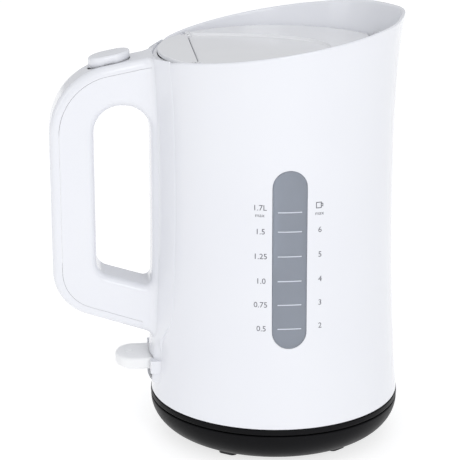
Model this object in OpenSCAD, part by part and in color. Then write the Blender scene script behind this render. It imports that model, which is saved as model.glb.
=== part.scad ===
// Electric kettle on a 360 degree power base. Millimetres, +Z up, +X towards the spout.
// Origin: on the base's vertical axis, at the level of the surface that it stands on.
// Heights are counted from the jug's datum, which raised() lifts to its height over that surface.

/* [Jug] */
// Outer radius of the jug at its waist
waist_r = 74; // [73:0.5:75]
// Height of the waist
waist_z = 165; // [160:1:170]
// How much the radius grows from the waist down to the foot
foot_flare = 5.5; // [5:0.25:5.75]
// How much the radius grows from the waist up to the mouth
mouth_flare = 6; // [5:0.25:6.5]
// Wall thickness of the jug
wall = 2.4; // [2:0.1:2.6]
// Height of the rim over the axis
rim_z = 253; // [252:0.5:255]
// Slope of the rim, up towards the spout
rim_tilt = 8.92; // [8:0.1:9.4]

/* [Windows] */
// Width of each water window
window_w = 21; // [18:0.5:22]
// Lower end of the window
window_z0 = 72.3; // [70:0.5:76]
// Upper end of the window
window_z1 = 183.1; // [176:0.5:186]

/* [Handle] */
// Width of the handle
handle_w = 30; // [29:0.5:32]
// Reach of the handle behind the axis
handle_x = 141; // [140:0.5:143]
// Depth of the outer cover strip
cover_d = 6; // [5:0.5:7]
// Travel of the release button
button_travel = 3; // [2:0.5:3]

/* [Lid] */
// Level of the lid's upper face
lid_z = 243; // [242.8:0.1:243.2]
// Radius of the lid
lid_r = 73.2; // [72.4:0.1:73.2]
// Straight front edge of the lid
lid_front_x = 63.5; // [60:0.5:63.5]

/* [Base] */
// Outer radius of the power base
base_r = 79.8; // [79:0.1:80]
// Level of the power base's upper ring
base_z = 16.1; // [15.8:0.1:16.2]
// Height of the rubber feet below the bottom plate
foot_proud = 3; // [2.5:0.1:3]

/* [Hidden] */

$fn = 72;
white = [0.95, 0.95, 0.98];
steel = [0.75, 0.76, 0.78];
brass = [0.80, 0.66, 0.32];
black = [0.11, 0.11, 0.12];
red_rubber = [0.62, 0.22, 0.16];
far = 300;

// Jug profile: a square law below the waist and a cubic law above it
jug_z0 = 20.5;
mouth_z = 266;
profile_steps = 20;
profile_top = 270;
function jug_r(z) = z < waist_z
    ? waist_r + foot_flare * pow((waist_z - z) / (waist_z - jug_z0), 2)
    : waist_r + mouth_flare * pow((z - waist_z) / (mouth_z - waist_z), 3);
stations = [for (i = [0:profile_steps]) jug_z0 + i * (profile_top - jug_z0) / profile_steps];

// Handle levels: upper line and lower line of the side outline, as functions of x
top_slope = 0.198;
low_slope = -0.333;
function top_line(x) = 233.1 + top_slope * (x + 116);
function low_line(x) = 64.7 + low_slope * (x + 86);

// Heating plate stack, from the ledge down
ledge_z = 52.5;
flange_z = 49.8;
plate_top = 53;
clamp_z = 46.8;

// Hinge of the lid
hinge_x = -51;
hinge_z = 242.3;
hinge_pin_r = 1;
lug_r = 1.9;

// Switch paddle
pivot_x = -70;
pivot_z = 42.4;
pivot_r = 1.5;

// Base
plate_z0 = -4;
plate_z1 = -2;
table_z = plate_z0 - foot_proud;
dish_z = 10.8;
skirt_r0 = 62;
skirt_power = 1.25;
foot_r = 58.4;
foot_z1 = plate_z0 + 1.1;
foot_angles = [18, 90, 162, 234, 306];
cover_z0 = 17.9;
cover_z1 = 19.9;
band_z = jug_z0 - 3.8;

// Points of an arc that rounds the corner b between a and c
function unit(v) = v / norm(v);
function corner(a, b, c, r, n = 7) = r <= 0 ? [b] :
    let (
        u = unit(a - b),
        v = unit(c - b),
        half = acos(u * v) / 2,
        centre = b + unit(u + v) * r / sin(half),
        p0 = b + u * r / tan(half) - centre,
        p1 = b + v * r / tan(half) - centre,
        a0 = atan2(p0[1], p0[0]),
        turn = atan2(p1[1], p1[0]) - a0,
        sweep = turn > 180 ? turn - 360 : turn < -180 ? turn + 360 : turn
    )
    [for (i = [0:n]) centre + r * [cos(a0 + sweep * i / n), sin(a0 + sweep * i / n)]];
function flat(p) = [p[0], p[1]];
function rounded(p) = [
    for (i = [0:len(p) - 1])
        each corner(flat(p[(i + len(p) - 1) % len(p)]), flat(p[i]), flat(p[(i + 1) % len(p)]), p[i][2])
];

// Side outline of the handle, moved inwards by d; each corner is [x, z, radius]
handle_root = -68;
function outline(d) = let (x = -handle_x + d, dt = d / cos(atan(top_slope)), dl = d / cos(atan(low_slope))) [
    [handle_root, top_line(handle_root) - dt, 0],
    [x, top_line(x) - dt, 44 - d],
    [x, low_line(x) + dl, 30 - d],
    [handle_root, low_line(handle_root) + dl, 0]
];
// Finger opening, moved outwards by e
function opening(e) = [
    [-78.3 + e, 210.4 + e, 17 + e],
    [-113.7 - e, 210.4 + e, 17 + e],
    [-113.7 - e, 103.5 - e, 10 + e],
    [-78.3 + e, 92.5 - e, 5 + e]
];

module ring(r0, r1, z0, z1) {
    translate([0, 0, z0]) difference() {
        cylinder(r = r1, h = z1 - z0, $fn = 96);
        translate([0, 0, -1]) cylinder(r = r0, h = z1 - z0 + 2, $fn = 96);
    }
}

// Solid of revolution that follows the jug's outer face, moved outwards by d
module jug_solid(d, below = 0) {
    side = [for (z = stations) [jug_r(z) + d, z]];
    rotate_extrude($fn = 96)
        polygon(concat([[0, jug_z0 - below], [side[0][0], jug_z0 - below]], side, [[0, profile_top]]));
}

module above_rim(gap = 0) {
    translate([0, 0, rim_z + gap]) rotate([0, -rim_tilt, 0])
        translate([-far / 2, -far / 2, 0]) cube([far, far, 90]);
}

// Upright slot with round ends, along Y, on the side given by sign
module slot_bar(w, z0, z1, side) {
    y0 = side > 0 ? 50 : -100;
    translate([0, y0, 0]) {
        translate([-w / 2, 0, z0 + w / 2]) cube([w, 50, z1 - z0 - w]);
        for (z = [z0 + w / 2, z1 - w / 2])
            translate([0, 50, z]) rotate([90, 0, 0]) cylinder(d = w, h = 50);
    }
}

module side_plate(points, w) {
    rotate([90, 0, 0]) linear_extrude(height = w, center = true) polygon(points);
}

module screw(r, len, head_r, head_h) {
    cylinder(r = r, h = len, $fn = 32);
    translate([0, 0, -head_h]) difference() {
        cylinder(r = head_r, h = head_h, $fn = 32);
        for (a = [0, 90]) rotate([0, 0, a]) translate([-head_r * 0.7, -0.4, -1])
            cube([head_r * 1.4, 0.8, 1 + head_h / 2]);
    }
}

// ---- Jug ----

slot_half = 15.5;
slot_z0 = 31.5;
slot_z1 = 47.3;

module switch_slot() {
    translate([-100, -slot_half, slot_z0]) cube([40, slot_half * 2, slot_z1 - slot_z0]);
}

slider_z0 = 226.9;
slider_z1 = 229.9;
slider_gap = 0.4;
module slider_slot() {
    translate([-92, -5 - slider_gap, slider_z0 - slider_gap])
        cube([30, 10 + 2 * slider_gap, slider_z1 - slider_z0 + 2 * slider_gap]);
}

module handle_screw_places() {
    for (y = [-10, 10]) translate([-71.1, y, 217]) rotate([0, -90, 0]) children();
}

clamp_angles = [45, 135, 225, 315];
clamp_screw_r = 71.7;

module body_shell() color(white) difference() {
    union() {
        difference() {
            jug_solid(0);
            jug_solid(-wall, 1);
        }
        intersection() {
            union() {
                ring(64, 77, ledge_z, 55);
                ring(69, 77, flange_z, 55);
                for (s = [-1, 1]) translate([63.8, s * 26.4 - 1.5, 206]) cube([12, 3, 38]);
            }
            jug_solid(-wall / 2);
        }
    }
    above_rim();
    for (s = [-1, 1]) {
        slot_bar(window_w, window_z0, window_z1, s);
        translate([65, s * 24.7 - 1, 205]) cube([2.4, 2, 60]);
    }
    switch_slot();
    slider_slot();
    handle_screw_places() translate([0, 0, -10]) cylinder(r = 1.7, h = 30, $fn = 32);
    for (a = clamp_angles) rotate([0, 0, a]) translate([clamp_screw_r, 0, 48])
        cylinder(r = 1.6, h = 6.2, $fn = 32);
}

module window(side) color([0.62, 0.66, 0.70, 0.5]) {
    difference() {
        union() {
            intersection() {
                jug_solid(-0.2);
                slot_bar(window_w, window_z0, window_z1, side);
            }
            intersection() {
                jug_solid(-wall);
                slot_bar(window_w + 8, window_z0 - 4, window_z1 + 4, side);
            }
        }
        jug_solid(-wall - 1.4, 1);
    }
}

module window_left() window(-1);
module window_right() window(1);

// ---- Handle ----

saddle_shift = 20.5;
saddle_proud = 3.3;
shield = [
    [34.5, 250, 0], [34.5, 78, 22], [22.5, 60, 12], [22.5, 31, 3],
    [-22.5, 31, 3], [-22.5, 60, 12], [-34.5, 78, 22], [-34.5, 250, 0]
];

module saddle() {
    side = [for (z = stations) [jug_r(z) + saddle_proud - saddle_shift, z]];
    intersection() {
        translate([-saddle_shift, 0, 0]) rotate_extrude($fn = 96)
            polygon(concat([[0, jug_z0]], side, [[0, profile_top]]));
        translate([-50, 0, 0]) rotate([90, 0, -90]) linear_extrude(height = 60) polygon(rounded(shield));
    }
}

// Where the outer strip is a separate cover
module cover_zone() {
    translate([-160, -20, 150]) cube([82.5, 40, 120]);
    translate([-160, -20, 40]) cube([74.6, 40, 111]);
}

module handle_hollow() {
    difference() {
        side_plate(rounded(outline(2.6)), handle_w - 5.2);
        side_plate(rounded(opening(2.6)), handle_w);
        translate([-87, -20, 150]) cube([40, 40, 120]);
        translate([-91, -20, 30]) cube([40, 40, 121]);
    }
}

module button_shape(grow) {
    for (x = [-106, -100.4]) translate([x, 0, 220]) cylinder(r = 10 + grow, h = 40);
    translate([-106, -10 - grow, 220]) cube([5.6, 20 + 2 * grow, 40]);
}

module handle_body() color(white) difference() {
    union() {
        saddle();
        side_plate(rounded(outline(0)), handle_w);
        for (s = [-1, 1]) translate([-81.2, s * 19 - 3.4, 38.3]) cube([4, 6.8, 8]);
    }
    jug_solid(0, 30);
    above_rim();
    side_plate(rounded(opening(0)), 80);
    difference() {
        cover_zone();
        side_plate(rounded(outline(cover_d)), 60);
    }
    handle_hollow();
    switch_slot();
    slider_slot();
    handle_screw_places() translate([0, 0, -5]) cylinder(r = 1.6, h = 20, $fn = 32);
}

module handle_cover() color(white) difference() {
    intersection() {
        side_plate(rounded(outline(0)), handle_w);
        cover_zone();
    }
    side_plate(rounded(outline(cover_d)), 60);
    handle_hollow();
    button_shape(0.4);
}

module handle_screws() color(steel) {
    handle_screw_places() screw(1.5, 13, 3, 2);
}

// ---- Lid release ----

fork_x0 = -108;
fork_x1 = -92;
cam_x = -103;
boss_x = -100.5;
button_top = 5.5;
button_under = -0.8;

// Slanted rib or slot at 45 degrees: it lies at x = cam_x at the slider's upper face
module cam(half, z0, z1, y0, y1) {
    points = [
        [cam_x - half + slider_z1 - z0, z0], [cam_x + half + slider_z1 - z0, z0],
        [cam_x + half + slider_z1 - z1, z1], [cam_x - half + slider_z1 - z1, z1]
    ];
    translate([0, (y0 + y1) / 2, 0]) side_plate(points, y1 - y0);
}

module release_button() color(white) {
    difference() {
        button_shape(0);
        translate([-116, 0, top_line(-116) + button_top]) rotate([0, -atan(top_slope), 0])
            translate([-20, -20, 0]) cube([60, 40, 40]);
        translate([-116, 0, top_line(-116) + button_under]) rotate([0, -atan(top_slope), 0])
            translate([-20, -20, -60]) cube([60, 40, 60]);
    }
    for (s = [-1, 1]) cam(1, slider_z0 + 0.4, 235, s * 7.5 - 1.3, s * 7.5 + 1.3);
    translate([boss_x, 0, 229.4]) cylinder(r = 4.2, h = 8, $fn = 48);
    translate([boss_x, 0, 221]) cylinder(r = 1.8, h = 9, $fn = 48);
}

// Round wire coil along +Z; each ring of the wire is a hexagon
module coil(r, wire, h, turns, per_turn = 14) {
    n = turns * per_turn;
    sides = 6;
    points = [
        for (i = [0:n], k = [0:sides - 1])
            let (a = 360 * i / per_turn, b = 360 * k / sides, q = r + wire * cos(b))
            [q * cos(a), q * sin(a), wire + (h - 2 * wire) * i / n + wire * sin(b)]
    ];
    skin = [
        for (i = [0:n - 1], k = [0:sides - 1])
            let (a = i * sides, m = (k + 1) % sides)
            each [[a + k, a + m, a + sides + m], [a + k, a + sides + m, a + sides + k]]
    ];
    first = [for (k = [sides - 1:-1:0]) k];
    last = [for (k = [0:sides - 1]) n * sides + k];
    polyhedron(points = points, faces = concat([first], skin, [last]));
}

spring_z0 = 213.2;
module button_spring() color(steel)
    translate([boss_x, 0, spring_z0]) coil(3.2, 0.35, 16, 5);

module latch_slider() color([0.85, 0.85, 0.87]) difference() {
    union() {
        translate([fork_x0, -10, slider_z0]) cube([fork_x1 - fork_x0 + 4, 20, slider_z1 - slider_z0]);
        translate([fork_x1, -5, slider_z0]) cube([43.4, 10, slider_z1 - slider_z0]);
        translate([-54, -5, slider_z0]) cube([4.4, 10, 9.6]);
    }
    translate([fork_x0 - 1, -5, slider_z0 - 1]) cube([fork_x1 - fork_x0, 10, 6]);
    for (s = [-1, 1]) cam(1.3, slider_z0 - 1, slider_z1 + 1, s * 7.5 - 1.6, s * 7.5 + 1.6);
}

// ---- Rear cover and hinge ----

cover_edge_x = hinge_x - 1;
lug_y0 = 42.2;
lug_y1 = 45.2;
ear_y0 = 45.5;
ear_y1 = 48.8;

module hinge_bar(r, y0, y1) {
    for (s = [-1, 1]) translate([hinge_x, s * (y0 + y1) / 2, hinge_z]) rotate([90, 0, 0])
        cylinder(r = r, h = y1 - y0, center = true, $fn = 48);
}

module rear_cover() color(white) difference() {
    intersection() {
        translate([0, 0, lid_z - 2.6]) cylinder(r = lid_r, h = 2.6, $fn = 96);
        translate([-100, -100, 200]) cube([100 + cover_edge_x, 200, 60]);
    }
    for (s = [-1, 1]) translate([cover_edge_x - 3.3, s * 51.8 - 10, 230]) cube([6.3, 20, 30]);
}

module hinge_bracket() color([0.88, 0.88, 0.90]) difference() {
    union() {
        intersection() {
            translate([0, 0, lid_z - 4.6]) cylinder(r = 71.4, h = 2, $fn = 96);
            translate([-100, -ear_y1, 200]) cube([100 + cover_edge_x - 0.6, 2 * ear_y1, 60]);
        }
        for (s = [-1, 1])
            translate([-55, s * (ear_y0 + ear_y1) / 2 - (ear_y1 - ear_y0) / 2, lid_z - 4.6])
                cube([3, ear_y1 - ear_y0, 4]);
        hinge_bar(lug_r, ear_y0, ear_y1);
        translate([-71, -8, lid_z - 9]) cube([3, 16, 5]);
    }
    hinge_bar(hinge_pin_r, ear_y0 - 1, ear_y1 + 1);
}

module hinge_pins() color(steel) hinge_bar(hinge_pin_r, lug_y0 + 0.2, ear_y1);

// ---- Lid ----

dish_a = 87;
dish_b = 48;
dish_drop = 1.2;

module lid_outline(r, z0, z1, x0, x1) {
    intersection() {
        translate([0, 0, z0]) cylinder(r = r, h = z1 - z0, $fn = 96);
        translate([x0, -100, z0 - 1]) cube([x1 - x0, 200, z1 - z0 + 2]);
    }
}

module dish() {
    ellipse = [for (i = [0:36]) let (a = -90 + 5 * i) [hinge_x - 2 + dish_a * cos(a), dish_b * sin(a)]];
    translate([0, 0, lid_z - dish_drop]) linear_extrude(height = 5) polygon(ellipse);
}

module lid() color(white) difference() {
    union() {
        difference() {
            lid_outline(lid_r, lid_z - 3.6, lid_z, hinge_x + 0.2, lid_front_x);
            dish();
            for (s = [-1, 1]) {
                translate([hinge_x - 5, s * 78.4 - 25, 230]) cube([10, 50, 20]);
                translate([hinge_x - 3, s * 45.4 - 3.8, 230]) cube([4.4, 7.6, 20]);
            }
            hinge_bar(lug_r + 0.5, lug_y1, 60);
            translate([hinge_x - 5, -100, lid_z - 8]) cube([7.4, 200, 5.6]);
        }
        for (s = [-1, 1]) {
            hinge_bar(lug_r, lug_y0, lug_y1);
            translate([hinge_x, s * (lug_y0 + 1.5) - 1.5, hinge_z - lug_r]) cube([6, 3, lug_r + 0.7]);
        }
    }
    hinge_bar(hinge_pin_r + 0.05, lug_y0 - 1, lug_y1 + 0.1);
    for (y = [-40, 40]) translate([20, y, 236]) cylinder(r = 1.4, h = 5, $fn = 32);
}

module lid_liner() color([0.90, 0.90, 0.92]) difference() {
    lid_outline(69.6, 232.6, lid_z - 3.6, -45.5, 60);
    difference() {
        lid_outline(68, 234.2, 245, -43.9, 58.4);
        for (y = [-40, 40]) translate([20, y, 234]) cylinder(r = 3.4, h = 6, $fn = 32);
    }
    for (y = [-40, 40]) translate([20, y, 230]) cylinder(r = 1.6, h = 12, $fn = 32);
    for (i = [-3:3]) translate([-36, i * 7 - 1.5, 230]) cube([16, 3, 6]);
}

module lid_screws() color(steel) {
    for (y = [-40, 40]) translate([20, y, 232.6]) screw(1.3, 7.4, 2.6, 1.6);
}

module lid_spring() color(steel) {
    translate([-60, 12, lid_z - 7.6]) rotate([90, 0, 0]) coil(2.2, 0.4, 24, 9, 12);
}

// ---- Spout filter ----

filter_x = 65.2;
module filter_frame() color([0.9, 0.9, 0.92]) difference() {
    union() {
        translate([filter_x, -24.4, 206.2]) cube([2, 48.8, 39.8]);
        translate([filter_x, -6, 245]) cube([2, 12, 5]);
    }
    for (s = [-1, 1]) translate([filter_x - 1, s * 11.7 - 10.2, 209]) cube([4, 20.4, 33.5]);
}

module filter_mesh() color(steel) {
    for (s = [-1, 1]) translate([filter_x + 0.75, s * 11.7 - 10.2, 209]) {
        for (i = [0:10]) translate([0, 0.2 + i * 1.96, 0]) cube([0.25, 0.4, 33.5]);
        for (j = [0:16]) translate([0.25, 0, 0.2 + j * 2.05]) cube([0.25, 20.4, 0.4]);
    }
}

// ---- Heating and control ----

tube_x = -54.8;
tube_r = 4.5;

module heating_plate() color(steel) difference() {
    rotate_extrude($fn = 96) polygon([
        [0, 51.8], [60.5, 51.8], [60.5, flange_z], [68.2, flange_z],
        [68.2, 51], [62, 51], [62, plate_top], [0, plate_top]
    ]);
    translate([tube_x, 0, 45]) cylinder(r = tube_r + 0.8, h = 12, $fn = 48);
}

module heat_spreader() color([0.8, 0.8, 0.82]) ring(12, 48, 49.3, 51.8);

module heating_element() color([0.55, 0.53, 0.50]) {
    difference() {
        translate([0, 0, 46]) rotate_extrude($fn = 96) translate([40, 0]) circle(r = 3.2, $fn = 32);
        rotate([0, 0, 20]) translate([0, 0, 40]) cube([80, 30, 12]);
    }
    for (p = [[39.8, 10.8], [1.2, 41.3]]) translate([p[0], p[1], 34]) cylinder(r = 1.6, h = 12, $fn = 32);
}

module plate_gasket() color(red_rubber) ring(62.2, 68.4, 51, ledge_z);

bottom_screw_r = 66;
bottom_angles = [0, 120, 240];

module clamp_ring() color([0.85, 0.85, 0.88]) difference() {
    union() {
        ring(62, 74.4, clamp_z, flange_z);
        for (a = bottom_angles) rotate([0, 0, a]) translate([bottom_screw_r, 0, cover_z1])
            cylinder(r = 3.8, h = clamp_z - cover_z1 + 0.4, $fn = 40);
    }
    for (a = clamp_angles) rotate([0, 0, a]) translate([clamp_screw_r, 0, 45])
        cylinder(r = 1.8, h = 6, $fn = 32);
    for (a = bottom_angles) rotate([0, 0, a]) translate([bottom_screw_r, 0, cover_z1 - 1])
        cylinder(r = 1.6, h = 13, $fn = 32);
}

module clamp_screws() color(steel) {
    for (a = clamp_angles) rotate([0, 0, a]) translate([clamp_screw_r, 0, clamp_z]) screw(1.5, 7, 2.5, 1.8);
}

socket_r = 20;
module control_unit() color([0.93, 0.90, 0.82]) difference() {
    union() {
        translate([0, 0, 24]) cylinder(r = 33, h = 25.3);
        translate([-62, -14, 26]) cube([34, 28, 6]);
    }
    translate([0, 0, 23]) cylinder(r = socket_r + 0.4, h = 15.4);
    translate([-57, 7.4, 20]) cube([3.6, 3.2, 20]);
}

module switch_bracket() color([0.85, 0.85, 0.88]) difference() {
    union() {
        for (s = [-1, 1]) translate([-73.2, s * 15.35 - 1.15, 37.5]) cube([8, 2.3, clamp_z - 37.5]);
        translate([-73.2, -16.5, 45.2]) cube([8, 33, clamp_z - 45.2]);
    }
    translate([pivot_x, 0, pivot_z]) rotate([90, 0, 0]) cylinder(r = pivot_r, h = 60, center = true, $fn = 48);
}

module switch_pin() color(steel)
    translate([pivot_x, 0, pivot_z]) rotate([90, 0, 0])
        cylinder(r = pivot_r, h = 32.6, center = true, $fn = 48);

module switch_paddle() color([0.96, 0.96, 0.97, 0.9]) difference() {
    union() {
        translate([-91, -14.9, 38.6]) cube([14, 29.8, 7.4]);
        intersection() {
            translate([-91, 0, 38.6]) cylinder(r = 14.9, h = 7.4);
            translate([-102.8, -20, 38]) cube([12, 40, 9]);
        }
        translate([-78, -13.6, 40.7]) cube([20.4, 27.2, 3.4]);
    }
    translate([pivot_x, 0, pivot_z]) rotate([90, 0, 0])
        cylinder(r = pivot_r + 0.05, h = 60, center = true, $fn = 48);
}

module trip_rod() color([0.85, 0.85, 0.88]) {
    translate([-61, 7.8, 44.4]) cube([7.2, 2.4, 1.4]);
    translate([-56.6, 7.8, 28]) cube([2.8, 2.4, 17]);
}

module indicator_lamp() color([0.95, 0.55, 0.30]) {
    translate([-59, -8, 34.2]) rotate([0, -90, 0]) cylinder(r = 2.2, h = 9, $fn = 32);
    translate([-61.5, -10, 32]) cube([2.4, 4, 2.2]);
}

module steam_tube() color([0.85, 0.85, 0.87]) translate([tube_x, 0, 47]) difference() {
    cylinder(r = tube_r, h = 178, $fn = 48);
    translate([0, 0, -1]) cylinder(r = tube_r - 1.1, h = 180, $fn = 48);
}

module tube_grommet() color(red_rubber) translate([tube_x, 0, 0]) difference() {
    union() {
        translate([0, 0, 51.8]) cylinder(r = tube_r + 0.8, h = 1.2, $fn = 48);
        translate([0, 0, plate_top]) cylinder(r = tube_r + 2.4, h = 2, $fn = 48);
    }
    translate([0, 0, 40]) cylinder(r = tube_r, h = 20, $fn = 48);
}

module bottom_cover() color(black) difference() {
    rotate_extrude($fn = 96) polygon([
        [22.4, cover_z0], [56, cover_z0], [56, dish_z + 0.05], [59.5, dish_z + 0.05], [59.5, cover_z0],
        [74, cover_z0], [76, band_z], [79.5, band_z], [80, band_z + 0.6], [80, jug_z0 - 0.8],
        [79.6, jug_z0], [76.7, jug_z0], [76.5, 26], [74.6, 26], [74.6, cover_z1], [22.4, cover_z1]
    ]);
    for (a = bottom_angles) rotate([0, 0, a]) translate([bottom_screw_r, 0, cover_z0 - 4.6]) {
        cylinder(r = 1.8, h = 10, $fn = 32);
        cylinder(r = 3.2, h = 5.5, $fn = 32);
    }
}

module bottom_screws() color(steel) {
    for (a = bottom_angles) rotate([0, 0, a]) translate([bottom_screw_r, 0, cover_z0 + 0.9]) screw(1.5, 10, 3, 1.7);
}

module kettle_socket() color([0.25, 0.25, 0.27]) rotate_extrude($fn = 96) polygon([
    [13.8, cover_z0 + 0.1], [21.9, cover_z0 + 0.1], [21.9, cover_z0 + 1.8],
    [socket_r, cover_z0 + 2.8], [socket_r, 38], [0, 38],
    [0, 35.6], [13.8, 35.6]
]);

module socket_contacts() color(brass) {
    translate([0, 0, 24]) cylinder(r = 2.1, h = 11.6, $fn = 48);
    ring(7, 8, 25, 35.6);
}

// ---- Power base ----

skirt_h = base_z - 0.6 - plate_z0;
function skirt(a, t) = [
    skirt_r0 + (base_r - skirt_r0 - t) * pow(sin(a), skirt_power),
    base_z - 0.6 - (skirt_h - t) * cos(a)
];
base_screw_r = 45;
base_angles = [30, 150, 270];
bushing_z = 6.5;
bushing_y0 = 69;
bushing_y1 = 78.2;

module along_y(r, y0, y1) {
    translate([0, y1, bushing_z]) rotate([90, 0, 0]) cylinder(r = r, h = y1 - y0, $fn = 48);
}

module base_shell() color(black) difference() {
    union() {
        rotate_extrude($fn = 96) polygon(concat(
            [[13.6, dish_z], [13.6, dish_z - 2.2], [67.4, dish_z - 2.2], [68.6, base_z - 2.2]],
            [for (i = [0:6]) skirt(82 - i * 82 / 6, 2.2)],
            [for (i = [0:9]) skirt(i * 10, 0)],
            [[79.3, base_z], [68.2, base_z], [66, dish_z]]
        ));
        for (a = base_angles) rotate([0, 0, a]) translate([base_screw_r, 0, plate_z1])
            cylinder(r = 4, h = dish_z - plate_z1 - 1, $fn = 40);
    }
    for (a = base_angles) rotate([0, 0, a]) translate([base_screw_r, 0, plate_z1 - 1])
        cylinder(r = 1.6, h = 9, $fn = 32);
    along_y(4.6, 60, 90);
}

module foot_shape(grow, z0, z1) {
    for (a = foot_angles) rotate([0, 0, a]) translate([foot_r, 0, z0]) {
        for (s = [-1, 1]) translate([0, 3 * s, 0]) cylinder(r = 3 + grow, h = z1 - z0, $fn = 32);
        translate([-3 - grow, -3, 0]) cube([6 + 2 * grow, 6, z1 - z0]);
    }
}

module base_bottom() color(black) difference() {
    union() {
        translate([0, 0, plate_z0]) cylinder(r = skirt_r0 - 0.3, h = plate_z1 - plate_z0, $fn = 96);
        translate([0, 0, table_z + 1]) cylinder(r = 24, h = 3);
    }
    foot_shape(0, table_z, foot_z1);
    for (a = base_angles) rotate([0, 0, a]) translate([base_screw_r, 0, table_z]) {
        cylinder(r = 1.8, h = 10, $fn = 32);
        cylinder(r = 3.3, h = foot_z1 - table_z, $fn = 32);
    }
}

module base_connector() color([0.20, 0.20, 0.22]) rotate_extrude($fn = 96) polygon([
    [3, 2], [17, 2], [17, dish_z - 2.2], [13.2, dish_z - 2.2], [13.2, 34], [12.4, 34.9],
    [8.6, 34.9], [8.6, 23], [6.2, 23], [6.2, 34.9], [3, 34.9]
]);

module connector_contacts() color(brass) {
    ring(2.5, 3, 14, 33);
    ring(6.2, 6.6, 23, 33.5);
}

module cord_bushing() color([0.16, 0.16, 0.17]) difference() {
    along_y(4.6, bushing_y0, bushing_y1);
    along_y(3.3, bushing_y0 - 1, bushing_y1 + 1);
}

module base_screws() color(steel) {
    for (a = base_angles) rotate([0, 0, a]) translate([base_screw_r, 0, foot_z1]) screw(1.5, 8, 3, 0.9);
}

module base_feet() color([0.18, 0.18, 0.19]) foot_shape(0, table_z, foot_z1);

module raised() translate([0, 0, -table_z]) children();

raised() body_shell();
raised() window_left();
raised() window_right();
raised() handle_body();
raised() handle_cover();
raised() handle_screws();
raised() release_button();
raised() button_spring();
raised() latch_slider();
raised() rear_cover();
raised() hinge_bracket();
raised() hinge_pins();
raised() lid();
raised() lid_liner();
raised() lid_screws();
raised() lid_spring();
raised() filter_frame();
raised() filter_mesh();
raised() heating_plate();
raised() heat_spreader();
raised() heating_element();
raised() plate_gasket();
raised() clamp_ring();
raised() clamp_screws();
raised() control_unit();
raised() switch_bracket();
raised() switch_pin();
raised() switch_paddle();
raised() trip_rod();
raised() indicator_lamp();
raised() steam_tube();
raised() tube_grommet();
raised() bottom_cover();
raised() bottom_screws();
raised() kettle_socket();
raised() socket_contacts();
raised() base_shell();
raised() base_bottom();
raised() base_connector();
raised() connector_contacts();
raised() cord_bushing();
raised() base_screws();
raised() base_feet();
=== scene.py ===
import math

import bmesh
import bpy
import numpy as np
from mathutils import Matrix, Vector


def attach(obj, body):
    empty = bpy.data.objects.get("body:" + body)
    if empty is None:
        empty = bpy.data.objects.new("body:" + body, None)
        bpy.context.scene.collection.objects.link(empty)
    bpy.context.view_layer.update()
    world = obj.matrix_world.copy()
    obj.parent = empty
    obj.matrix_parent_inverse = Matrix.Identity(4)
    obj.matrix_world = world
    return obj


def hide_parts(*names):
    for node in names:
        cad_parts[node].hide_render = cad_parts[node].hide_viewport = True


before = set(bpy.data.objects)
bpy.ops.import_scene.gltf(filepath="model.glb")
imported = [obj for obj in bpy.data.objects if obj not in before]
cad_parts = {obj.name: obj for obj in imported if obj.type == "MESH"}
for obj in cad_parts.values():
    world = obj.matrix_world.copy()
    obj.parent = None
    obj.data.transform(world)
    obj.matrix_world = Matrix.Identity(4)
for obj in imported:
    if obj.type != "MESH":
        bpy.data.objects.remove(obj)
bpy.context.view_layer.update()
MM = 0.001

# ---------------------------------------------------------------- dimensions
# The same formulas as the CAD source, in millimetres over the jug's datum, which is DATUM over the table.
DATUM = 7.0
WAIST_R, WAIST_Z, FOOT_FLARE, MOUTH_FLARE = 74.0, 165.0, 5.5, 6.0
JUG_Z0, MOUTH_Z, WALL = 20.5, 266.0, 2.4
RIM_Z, RIM_TAN = 253.0, math.tan(math.radians(8.92))
WIN_HALF, WIN_Z0, WIN_Z1 = 10.5, 72.3, 183.1
LID_Z, LID_R, LID_FRONT, LID_REAR = 243.0, 73.2, 63.5, -50.8
TOP_SLOPE, LOW_SLOPE = 0.198, -0.333
HANDLE_X, HANDLE_W, COVER_D = 141.0, 30.0, 6.0


def jug_r(z):
    z = np.asarray(z, float)
    low = WAIST_R + FOOT_FLARE * ((WAIST_Z - z) / (WAIST_Z - JUG_Z0)) ** 2
    high = WAIST_R + MOUTH_FLARE * (np.maximum(z - WAIST_Z, 0) / (MOUTH_Z - WAIST_Z)) ** 3
    return np.where(z < WAIST_Z, low, high)


def rim_plane(x):
    return RIM_Z + RIM_TAN * np.asarray(x, float)


def top_line(x):
    return 233.1 + TOP_SLOPE * (x + 116)


def low_line(x):
    return 64.7 + LOW_SLOPE * (x + 86)


def smooth01(t):
    t = np.clip(t, 0, 1)
    return t * t * (3 - 2 * t)


# ---------------------------------------------------------------- mesh tools
def build(name, verts, faces, material, body, replaces=(), weighted=True):
    """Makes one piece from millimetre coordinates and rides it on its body."""
    mesh = bpy.data.meshes.new(name)
    pts = ((np.asarray(verts, float) + (0, 0, DATUM)) * MM).tolist()
    mesh.from_pydata(pts, [], [tuple(int(i) for i in f) for f in faces])
    bm = bmesh.new()
    bm.from_mesh(mesh)
    bmesh.ops.remove_doubles(bm, verts=bm.verts, dist=1e-6)
    bmesh.ops.recalc_face_normals(bm, faces=bm.faces)
    for f in bm.faces:
        f.smooth = True
    bm.to_mesh(mesh)
    bm.free()
    mesh.materials.append(material)
    obj = bpy.data.objects.new(name, mesh)
    bpy.context.scene.collection.objects.link(obj)
    if weighted:
        mod = obj.modifiers.new("normals", "WEIGHTED_NORMAL")
        mod.keep_sharp = True
        mod.weight = 60
    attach(obj, body)
    if replaces:
        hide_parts(*replaces)
    return obj


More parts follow.
